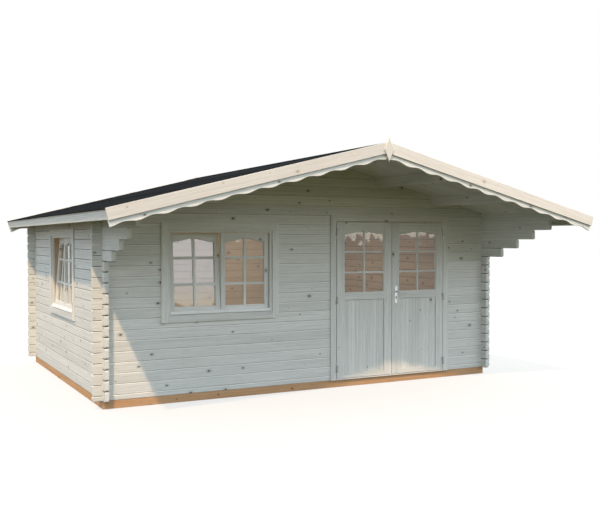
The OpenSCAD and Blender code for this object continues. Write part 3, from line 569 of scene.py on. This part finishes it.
def dressWindow(tag, spot):
    # boards set out from the middle of the opening's foot: x along the wall, y into it, z up
    w = window
    inner = w["w"] / 2 - seat - w["frameW"]
    top = w["h"] - seat
    inward = np.array(spot["inward"], float)
    # casing: two full-height boards with the others between them
    half, board = w["w"] / 2 - w["lap"], (w["casingW"], w["casingT"], w["casingEase"])
    low, high, y = w["lap"] - w["casingW"], w["h"] - w["lap"] + w["casingW"], -seat - w["casingT"] / 2
    casing = [uprights(half + w["casingW"] / 2, y, low, high, *board),
              levels(half - seat, y, (low + w["casingW"] / 2, high - w["casingW"] / 2), *board)]
    makePiece(tag + "_casing_boards", [(moved(s, spot), 0) for s in casing], finishes["joinery"],
              "house", [tag + "_casing"])
    # frame: posts, sill and head in two layers, glazed in front of the sash and bare behind its outer face
    framing, split = [], w["sashBack"] + w["reveal"]
    for near, far, isBare in ((0, split, 0), (split + seat, w["frameD"], 1)):
        y, board = (near + far) / 2, (w["frameW"], far - near, w["frameEase"])
        framing += [(uprights(inner + w["frameW"] / 2, y, seat, top, *board), isBare),
                    (levels(inner - seat, y, (seat + w["frameW"] / 2, top - w["frameW"] / 2), *board), isBare)]
    makePiece(tag + "_frame_timbers", [(moved(s, spot), isBare) for s, isBare in framing], finishes["joinery"],
              "house", [tag + "_frame"])
    # two sashes, the left one leaning into the room
    sashW = (w["w"] - 2 * seat - 2 * w["frameW"] - 3 * w["gap"]) / 2
    sashH = w["h"] - 3 * seat - 2 * w["frameW"] - w["gap"]
    sashX = (w["gap"] + sashW) / 2
    for label, side, angle in (("left", -1, w["lean"]), ("right", 1, 0.0)):
        place = dict(spot, at=np.asarray(spot["at"], float) + np.array(spot["right"], float) * side * sashX)
        turn = partial(leanBack, angle=angle, pivotY=w["sashBack"] + w["sashT"], pivotZ=2 * seat + w["frameW"])
        makePiece(f"{tag}_{label}_sash_rails",
                  [(moved(turn(s), place), (inward, 0.5)) for s in sashTimbers(sashW, sashH)],
                  finishes["joinery"], "house", [f"{tag}_{label}_sash"])
    # drip rail: a bent strip over the sill's front edge, carried from post to post
    x = np.array([-1, 1])[:, None] * (inner - w["dripGap"])
    section = np.array(w["drip"])
    rail = loftShell(np.stack(np.broadcast_arrays(x, section[:, 0], section[:, 1]), -1)[None])
    makePiece(tag + "_drip_rail", [(moved(rail, spot), 0)], finishes["coated"], "house")


dressWindow("front_window", {"at": (window["frontX"], frontY, baseTop + window["frontCourse"] * house["logH"]),
                             "right": (1, 0, 0), "inward": (0, 1, 0)})
dressWindow("side_window", {"at": (-halfW, frontY + window["sideY"], baseTop + window["sideCourse"] * house["logH"]),
                            "right": (0, -1, 0), "inward": (1, 0, 0)})
print("windows dressed")

door = {"x": 1.076, "leafW": 0.791, "leafH": 1.905, "leafT": 0.042, "gap": 0.005, "meeting": 0.008, "jamb": 0.040,
        "lap": 0.038, "casingW": 0.078, "casingT": 0.020, "casingEase": 0.003, "threshold": 0.012, "stile": 0.108,
        "bottom": 0.050, "panelH": 0.902, "mid": 0.090, "top": 0.112, "ease": 0.002, "headEase": 0.0015,
        "rise": 0.032, "glass": 0.004, "panelT": 0.018, "strips": 11, "stripEase": 0.003, "groove": 0.005,
        "tongueT": 0.004, "tongueEase": 0.0005, "barW": 0.023, "barD": 0.013, "barEase": 0.004,
        "barsAt": (0.245, 0.497), "bead": 0.004}


def leafTimbers():
    # one door leaf: stiles and rails round a pane with a curved head, and upright strips side by side below
    d = door
    face = -d["casingT"] - seat
    mid = face + d["leafT"] / 2
    lightW = d["leafW"] - 2 * d["stile"]
    lightZ = d["bottom"] + d["panelH"] + d["mid"]
    lightH = d["leafH"] - lightZ - d["top"]
    rails = [uprights((d["leafW"] - d["stile"]) / 2, mid, 0, d["leafH"], d["stile"], d["leafT"], d["ease"]),
             levels(lightW / 2 - seat, mid, (d["bottom"] / 2, lightZ - d["mid"] / 2), [d["bottom"], d["mid"]],
                    d["leafT"], d["ease"]),
             curvedRail(d, lightW - 2 * seat, lightZ, lightH, d["leafH"], face, d["leafT"]),
             *barsAndBeads(d, lightW, lightZ, lightH, mid)]
    stripW = (lightW - 2 * d["groove"]) / d["strips"]
    x = -lightW / 2 + d["groove"] + stripW * (np.arange(d["strips"]) + 0.5)
    feet = np.stack([x, np.full_like(x, mid), np.full_like(x, d["bottom"] + d["groove"])], -1)
    heads = feet + [0, 0, d["panelH"] - 2 * d["groove"]]
    strips = boards(feet, heads, (1, 0, 0), stripW - seat, d["panelT"], d["stripEase"])
    # tongues that close the groove round the strips
    tongue = (d["groove"], d["tongueT"], d["tongueEase"])
    x, low = lightW / 2 - seat - d["groove"] / 2, d["bottom"] + seat
    sides = uprights(x, mid, low, low + (d["panelH"] - 2 * seat), *tongue)
    z = d["bottom"] + seat + d["groove"] / 2
    ends = levels(x - d["groove"] / 2, mid, (z, z + d["panelH"] - 2 * seat - d["groove"]), *tongue)
    return rails, [strips, sides, ends]


def dressDoor():
    # casing boards round the clear width and height of both leaves, then each leaf on its own body
    d = door
    leafZ = baseTop + seat + d["threshold"] + d["gap"]
    doorTop = leafZ + d["leafH"] + d["gap"] + d["jamb"] + seat
    half = (2 * d["leafW"] + d["meeting"] + 2 * d["gap"]) / 2 + d["jamb"] + seat - d["lap"]
    low, y, board = doorTop - d["lap"], -seat - d["casingT"] / 2, (d["casingW"], d["casingT"], d["casingEase"])
    spot = {"at": (d["x"], frontY, 0), "right": (1, 0, 0), "inward": (0, 1, 0)}
    casing = [uprights(half + d["casingW"] / 2, y, baseTop + seat, low + d["casingW"], *board),
              levels(half - seat, y, [low + d["casingW"] / 2], *board)]
    makePiece("door_casing_boards", [(moved(s, spot), 0) for s in casing], finishes["joinery"],
              "house", ["door_casing"])
    for label, side in (("left", -1), ("right", 1)):
        place = dict(spot, at=(d["x"] + side * (d["meeting"] + d["leafW"]) / 2, frontY, leafZ))
        body, rule = label + "_door", ((0, 1, 0), 0.5)
        rails, panel = leafTimbers()
        makePiece(label + "_door_rails", [(moved(s, place), rule) for s in rails], finishes["joinery"],
                  body, [label + "_door_leaf"])
        makePiece(label + "_door_boards", [(moved(s, place), rule) for s in panel], finishes["joinery"],
                  body, [label + "_door_panel"])


dressDoor()
print("door dressed")


def onSlope(side, u, w, y):
    # point u down the slope and w over the boards' underside; at the ridge all levels end on the plumb cut
    cut = (seat / 2 - w * slopeSin) / slopeCos
    u = cut + u * (1 - cut / slopeLen)
    x, z = side * (u * slopeCos + w * slopeSin), ridgeZ - u * slopeSin + w * slopeCos
    return np.stack(np.broadcast_arrays(x, y, z), -1)


def slopeBoards(side, us, ys, width, low, high):  # boards down a slope, one at each y
    section = easedSection(width, high - low, roof["ease"])
    y = np.asarray(ys, float)[:, None, None] + section[:, 0]
    return loftShell(onSlope(side, np.asarray(us, float)[:, None], (low + high) / 2 + section[:, 1], y))


def dressSlope(label, side):
    # one slope: boards, fascia and felt, each a section carried down the slope or along the eave
    r = roof
    pitch = (boardBack - boardFront) / r["boards"]
    middles = boardFront + pitch * (np.arange(r["boards"]) + 0.5)
    reach = [0, fasciaOut - r["fasciaT"] - seat]
    inRoom = (middles > frontY) & (middles < backY)  # boards over the room are bare, the soffit is glazed
    planks = [(slopeBoards(side, reach, middles[inRoom == room], pitch - seat, 0, r["boardT"]), int(room))
              for room in (False, True)]
    makePiece(label + "_roof_planks", planks, finishes["joinery"], "house", [label + "_roof_boards"])
    section = easedSection(r["fasciaT"], r["fasciaH"], r["ease"])
    u = fasciaOut - r["fasciaT"] / 2 + section[:, 0]
    w = r["boardT"] - r["fasciaH"] / 2 + section[:, 1]
    ends = np.array([purlinFront, purlinBack])[:, None]
    makePiece(label + "_fascia_board", [(loftShell(onSlope(side, u, w, ends)[None]), 0)],
              finishes["joinery"], "house", [label + "_fascia"])
    # felt in sheets along the roof: each lifts where it laps the one below, with a slight cockle
    eave = fasciaOut + r["drip"]
    laps = eave - r["sheet"] * np.arange(1, 4)
    u = np.sort(np.concatenate([np.linspace(0, eave, 140), laps - r["lapEdge"], laps + r["lapEdge"]]))
    lift = np.clip((u[:, None] - laps + r["lapLen"]) / r["lapRamp"], 0, 1) * (u[:, None] < laps)
    y = np.linspace(boardFront, boardBack, 60)[:, None]
    ripples = [np.sin(a * y + b * u) for a, b in r["ripples"]]
    cockle = r["cockle"] * (ripples[0] * ripples[1] + ripples[2])
    top = feltTop + r["lapRise"] * lift.sum(1) + cockle * np.clip((eave - u) / r["fade"], 0, 1)
    low = np.full_like(top, r["boardT"] + seat)
    u, w = np.concatenate([u, u[::-1]]), np.concatenate([top, low], 1)
    makePiece(label + "_felt_sheets", [(loftShell(onSlope(side, u, w, y)[None]), 0)], finishes["felt"],
              "house", [label + "_roof_felt"], smooth=40)


def dressGable(label, edge, sign):
    # boards along the slopes' ends; the scalloped one's lower edge is a cosine wave with a tip at each end
    r = roof
    y = [edge + sign * r["bargeT"] / 2]
    barge = [slopeBoards(side, [0, slopeLen], y, r["bargeT"], bargeLow, bargeTop) for side in (-1, 1)]
    makePiece(label + "_gable_boards", [(s, 0) for s in barge], finishes["trim"], "house",
              [label + "_bargeboards"])
    u = np.linspace(0, slopeLen, r["waves"] * 24 + 1)
    wave = bargeLow - r["drop"] + r["wave"] / 2 * (1 - np.cos(math.tau * r["waves"] * u / slopeLen))
    section = easedSection(np.full_like(u, r["scallopT"]), -seat - wave, r["ease"])
    y = edge + sign * (r["bargeT"] + seat + r["scallopT"] / 2) + section[..., 0]
    w = ((wave - seat) / 2)[:, None] + section[..., 1]
    makePiece(label + "_scallops", [(loftShell(onSlope(side, u[:, None], w, y)[None]), 0) for side in (-1, 1)],
              finishes["joinery"], "house", [label + "_scalloped_boards"])


def dressRidge():  # felt strip folded over both slopes: a thin loop round the ridge, carried along it
    y = np.linspace(boardFront, boardBack, 40)[:, None]
    u = np.linspace(roof["ridgeStrip"], 0, 6)
    low, high = feltTop + roof["stripLow"], feltTop + roof["stripHigh"]
    loop = np.concatenate([onSlope(-1, u, high, y), onSlope(1, u[::-1], high, y),
                           onSlope(1, u, low, y), onSlope(-1, u[::-1], low, y)], 1)
    makePiece("ridge_felt_strip", [(loftShell(loop[None]), 0)], finishes["felt"], "house")


dressSlope("left", -1)
dressSlope("right", 1)
dressRidge()
dressGable("front", roofFront, 1)
dressGable("back", roofBack, -1)
print("roof dressed")

finial = {"h": 0.240, "w": 0.110, "t": 0.018, "rise": 0.037, "chamfer": 0.003}


def dressFinials():
    # diamond plate: its outline is carried through the thickness and drawn in at the front edge
    f = finial
    top = ridgeZ - ((seat / 2 - bargeTop * slopeSin) / slopeCos) * slopeSin + bargeTop * slopeCos + f["rise"]
    t = np.linspace(0, 1, 9)[:-1]
    corner = np.array([[0, 1], [-1, 0], [0, -1], [1, 0]], float)
    outline = np.concatenate([a + (b - a) * t[:, None] for a, b in zip(corner, np.roll(corner, -1, 0))])
    for label, edge, sign in (("front", roofFront, -1), ("back", roofBack, 1)):
        near, far = edge + sign * seat, edge + sign * (seat + f["t"])
        y = np.array([near, far - sign * f["chamfer"], far])
        draw = np.array([1, 1, 1 - f["chamfer"] * math.hypot(2 / f["w"], 2 / f["h"])])[:, None]
        x = outline[:, 0] * draw * f["w"] / 2
        z = top - f["h"] / 2 + outline[:, 1] * draw * f["h"] / 2
        rings = np.stack(np.broadcast_arrays(x, y[:, None], z), -1)
        makePiece(label + "_diamond", [(loftShell(rings[None]), 0)], finishes["trim"], "house",
                  [label + "_finial"])


dressFinials()
print("finials dressed")

ground = {"baseT": 0.060, "inset": 0.005, "baseEase": 0.003, "floorT": 0.018, "planks": 32, "floorEase": 0.002}


def dressBase():
    # four bearers under the walls, two of them full length, and floor boards side by side from front to back
    g = ground
    edge, beam = halfW - g["inset"], (baseTop, g["baseT"], g["baseEase"])
    y0, y1, z = frontY + g["inset"] + g["baseT"] / 2, backY - g["inset"] - g["baseT"] / 2, baseTop / 2
    x, turn = edge - g["baseT"] / 2, g["baseT"] / 2 + seat
    beams = [boards([[-edge, y0, z], [-edge, y1, z]], [[edge, y0, z], [edge, y1, z]], (0, 0, 1), *beam),
             boards([[-x, y0 + turn, z], [x, y0 + turn, z]], [[-x, y1 - turn, z], [x, y1 - turn, z]],
                    (0, 0, 1), *beam)]
    makePiece("base_timbers", [(s, 0) for s in beams], finishes["base"], "house", ["base_beams"])
    edge = house["logT"] + seat
    pitch = (backY - frontY - 2 * edge) / g["planks"]
    y = frontY + edge + pitch * (np.arange(g["planks"]) + 0.5)
    z = np.full_like(y, baseTop + seat + g["floorT"] / 2)
    planks = boards(np.stack([np.full_like(y, edge - halfW), y, z], -1),
                    np.stack([np.full_like(y, halfW - edge), y, z], -1),
                    (0, 1, 0), pitch - seat, g["floorT"], g["floorEase"])
    makePiece("floor_planks", [(planks, 1)], finishes["pine"], "house", ["floor_boards"])


dressBase()
print("base and floor dressed")

# lock and slot give a width, a height and a corner radius; depths are from the plate's face
handle = {"at": (1.140, 1.1403), "plateW": 0.038, "up": 0.0717, "down": 0.1433, "corner": 0.012, "ease": 0.0015,
          "plates": ((-0.0206, -0.0256), (0.0220, 0.0270)), "arms": (-0.0706, 0.0720), "reach": 0.125,
          "bend": 0.018, "bendFrom": 0.004, "bendTo": 0.01, "neck": 0.0075, "neckFrom": 0.0053, "flat": 0.85,
          "tip": 0.008, "tipLen": 0.0079, "taper": 0.92, "tipSize": (0.9, 0.02), "collar": 0.012, "collarT": 0.005,
          "collarEase": 0.0012, "key": -0.072, "lock": (0.017, 0.033, 0.0084), "lockT": 0.002, "lockEase": 0.0004,
          "slot": (0.0026, 0.0105, 0.0012), "slotAt": (0.0023, 0.0026), "slotEase": 0.0002}


def plateShell(width, height, radius, centre, back, front, ease):
    # plate with rounded corners: its outline is carried from back to front and drawn in along the front edge
    quarter = np.repeat(np.arange(4), 9)
    angle = quarter * math.pi / 2 + np.tile(np.linspace(0, math.pi / 2, 9), 4)
    sign = np.array([[1, 1], [-1, 1], [-1, -1], [1, -1]])[quarter]
    inset = np.array([0, 0, ease])[:, None, None]
    flat = sign * (np.array([width, height]) / 2 - radius)
    flat = flat + (radius - inset) * np.stack([np.cos(angle), np.sin(angle)], -1) + np.array(centre)
    y = frontY + np.array([back, front - math.copysign(ease, front - back), front])[:, None]
    return loftShell(np.stack(np.broadcast_arrays(flat[..., 0], y, flat[..., 1]), -1)[None])


def leverShell(front, arm, out):
    # an oval section swept out of the plate, round a bend and along the door, closed by a rounded tip
    h = handle
    turn = np.linspace(0, math.pi / 2, 9)
    tip = np.sin(np.linspace(0, math.pi / 2, 6))[1:]
    straight = h["reach"] - h["tip"]
    x = np.concatenate([np.zeros(4), h["bend"] * (1 - np.cos(turn)),
                        np.linspace(h["bend"] + h["bendTo"], straight, 8), straight + h["tipLen"] * tip])
    y = np.concatenate([np.linspace(abs(front) + h["neckFrom"], abs(arm) - h["bend"] - h["bendFrom"], 4),
                        abs(arm) - h["bend"] * (1 - np.sin(turn)), np.full(13, abs(arm))])
    size = np.concatenate([np.ones(16), np.linspace(1, h["taper"], 5),
                           np.cos(np.arcsin(tip)) * h["tipSize"][0] + h["tipSize"][1]])
    path = np.stack([h["at"][0] + x, frontY + out * y, np.full_like(x, h["at"][1])], -1)
    ahead = np.gradient(path, axis=0)
    side = np.cross(ahead / np.linalg.norm(ahead, axis=1, keepdims=True), (0, 0, 1))
    angle = np.linspace(0, math.tau, 24, endpoint=False)
    oval = size[:, None, None] * h["neck"] * np.stack([h["flat"] * np.cos(angle), np.sin(angle)], -1)
    return loftShell((path[:, None] + oval[..., :1] * side[:, None] + oval[..., 1:] * np.array([0, 0, 1.0]))[None])


def dressHandle():
    # a plate, lock, keyhole, collar and lever on each face of the leaf, stacked outwards; the keyhole is a thin
    # near-black plate, painted shade for the key's opening
    h = handle
    x0, z0 = h["at"]
    plates, arms, locks, slots = [], [], [], []
    for (back, front), arm in zip(h["plates"], h["arms"]):
        out = math.copysign(1.0, arm)
        key, wide = (x0, z0 + h["key"]), 2 * h["collar"]
        plates.append(plateShell(h["plateW"], h["up"] + h["down"], h["corner"],
                                 (x0, z0 + (h["up"] - h["down"]) / 2), back, front, h["ease"]))
        locks.append(plateShell(*h["lock"], key, front + out * seat, front + out * h["lockT"], h["lockEase"]))
        slots.append(plateShell(*h["slot"], key, *(front + out * deep for deep in h["slotAt"]), h["slotEase"]))
        arms.append(plateShell(wide, wide, h["collar"] - 1e-5, h["at"], front + out * seat,
                               front + out * h["collarT"], h["collarEase"]))
        arms.append(leverShell(front, arm, out))
    for name, shells, key, body, stands in (("handle_plates", plates, "steel", "right_door", ["door_handle_plates"]),
                                            ("lock_cylinder", locks, "lock", "right_door", []),
                                            ("lock_keyhole", slots, "slot", "right_door", []),
                                            ("handle_levers", arms, "steel", "lever", ["door_handle"])):
        makePiece(name, [(shell, 0) for shell in shells], finishes[key], body, stands, smooth=35)


dressHandle()
print("handle dressed")

# stage: a pale floor, white to the camera with a soft shadow, and a plain soft light
floor = {"half": 60, "z": -0.001, "glow": 0.93, "tint": "#F4EFE6", "share": 0.25, "bounce": "#3A391F"}
light = {"sun": 2.78, "sunTint": "#FFD9B0", "way": (0.755, 1.0, -1.567), "soft": 1.4,
         "sky": 1.73, "skyTint": "#E5EFFA", "skyLow": "#AEA376", "skySides": (0.78, 1.24), "skyAside": 0.27,
         "skyRise": (0.02, 0.30), "room": 31.0, "roomSize": (3.0, 1.5), "roomAt": (-0.2, 1.2, 2.35)}
card = {"x": (1.0, 13.0), "y": -14.3, "z": (1.4, 5.5), "glow": 4.2, "low": "#E9EBE4", "high": "#D9ECFF",
        "blend": (2.1, 2.7), "patch": 0.25, "slope": 0.7, "edge": 1.86, "ragged": (0.5, 0.54)}


def shownRays(put):  # 1 for the rays that show the background: straight, mirrored and through glass
    rays = put("LightPath").node.outputs
    shown = put("Math.MAXIMUM", [rays["Is Camera Ray"], rays["Is Glossy Ray"]])
    return put("Math.MAXIMUM", [shown, rays["Is Transmission Ray"]])


def addSheet(name, corners, finish):  # a flat sheet of the stage through four corners
    mesh = bpy.data.meshes.new(name)
    mesh.from_pydata(corners, [], [(0, 1, 2, 3)])
    mesh.materials.append(finish)
    sheet = bpy.data.objects.new(name, mesh)
    bpy.context.scene.collection.objects.link(sheet)


def addLamp(name, kind):  # a lamp's data and its object
    data = bpy.data.lights.new(name, kind)
    lamp = bpy.data.objects.new(name, data)
    bpy.context.scene.collection.objects.link(lamp)
    return data, lamp


def setFloor():  # pale floor: mostly its own glow where it is seen, dull where it only lights the house
    finish, put = newFinish("pale_studio_floor")
    glow = put("Emission", {"Color": (1, 1, 1, 1), "Strength": floor["glow"]})
    pale = put("BsdfDiffuse", {"Color": floor["tint"]})
    seen = put("MixShader", [floor["share"], glow, pale])
    dull = put("BsdfDiffuse", {"Color": floor["bounce"]})
    put("OutputMaterial", {"Surface": put("MixShader", [shownRays(put), dull, seen])})
    a, z = floor["half"], floor["z"]
    addSheet("studio_floor", [(-a, -a, z), (a, -a, z), (a, a, z), (-a, a, z)], finish)


def setLamps():  # a warm sun from the front left, and a weak lamp in the room
    sun, lamp = addLamp("key_sun", "SUN")
    sun.energy, sun.angle, sun.color = light["sun"], math.radians(light["soft"]), toLinear(light["sunTint"])[:3]
    lamp.rotation_euler = Vector(light["way"]).to_track_quat("-Z", "Y").to_euler()
    room, lamp = addLamp("room_light", "AREA")
    room.shape, room.energy = "RECTANGLE", light["room"]
    room.size, room.size_y = light["roomSize"]
    lamp.location = light["roomAt"]


def setSky():  # sky for diffuse rays: duller towards the horizon, most of all ahead and behind, and towards -X
    world = bpy.data.worlds.new("studio")
    bpy.context.scene.world = world
    world.use_nodes = True
    world.node_tree.nodes.clear()
    put = partial(addNode, world.node_tree)
    way = put("SeparateXYZ", [put("TexCoord", out="Generated")]).node.outputs
    aside = put("Math.MULTIPLY", [way["X"], way["X"]])
    rise = put("Math.MULTIPLY_ADD", [aside, light["skyAside"], way["Z"]])
    rise = put("MapRange", [rise, *light["skyRise"]])
    tint = put("Mix", {0: rise, 6: light["skyLow"], 7: light["skyTint"]}, 2, data_type="RGBA")
    level = put("MapRange", [way["X"], -1.0, 1.0, *(side * light["sky"] for side in light["skySides"])])
    sky = put("Background", {"Color": tint, "Strength": level})
    white = put("Background", {"Color": (1, 1, 1, 1), "Strength": 1.0})
    put("OutputWorld", {"Surface": put("MixShader", [shownRays(put), sky, white])})


def setCard():
    # card that only glossy rays meet: it brightens the panes that lean back and the heads of the others
    finish, put = newFinish("reflection_card")
    place = put("TexCoord", out="Object")
    rise = put("SeparateXYZ", [place], "Z")
    blend = put("MapRange", [rise, *card["blend"]])
    tint = put("Mix", {0: blend, 6: card["low"], 7: card["high"]}, 2, data_type="RGBA")
    glow = put("Emission", {"Color": tint, "Strength": card["glow"]})
    # its lower edge is ragged: a noise of 0.25 m against the height
    ragged = put("TexNoise", {"Vector": place, "Scale": 1 / card["patch"], "Detail": 4.0})
    ragged = put("Math.MULTIPLY_ADD", [rise, card["slope"], ragged])
    ragged = put("MapRange", [ragged, *(share + card["slope"] * card["edge"] for share in card["ragged"])])
    path = put("Math.MULTIPLY", [put("LightPath", out="Is Glossy Ray"), ragged])
    put("OutputMaterial", {"Surface": put("MixShader", [path, put("BsdfTransparent"), glow])})
    (x0, x1), y, (z0, z1) = card["x"], card["y"], card["z"]
    addSheet("reflection_card", [(x0, y, z1), (x1, y, z1), (x1, y, z0), (x0, y, z0)], finish)


setFloor()
setLamps()
setSky()
setCard()

# camera as the picture was taken, 600 x 514; turns are in degrees
view = {"lens": 49.56, "sensor": 36.0, "far": 200.0, "at": (-4.7685, -9.8954, 1.7948), "turn": (88.797, 0.0, -27.752)}
camera = bpy.data.cameras.new("camera")
camera.lens, camera.sensor_width, camera.clip_end = view["lens"], view["sensor"], view["far"]
shot = bpy.data.objects.new("camera", camera)
shot.location = view["at"]
shot.rotation_euler = [math.radians(angle) for angle in view["turn"]]
bpy.context.scene.collection.objects.link(shot)
bpy.context.scene.camera = shot
bpy.context.scene.view_settings.view_transform = "Standard"
print("stage and camera set")
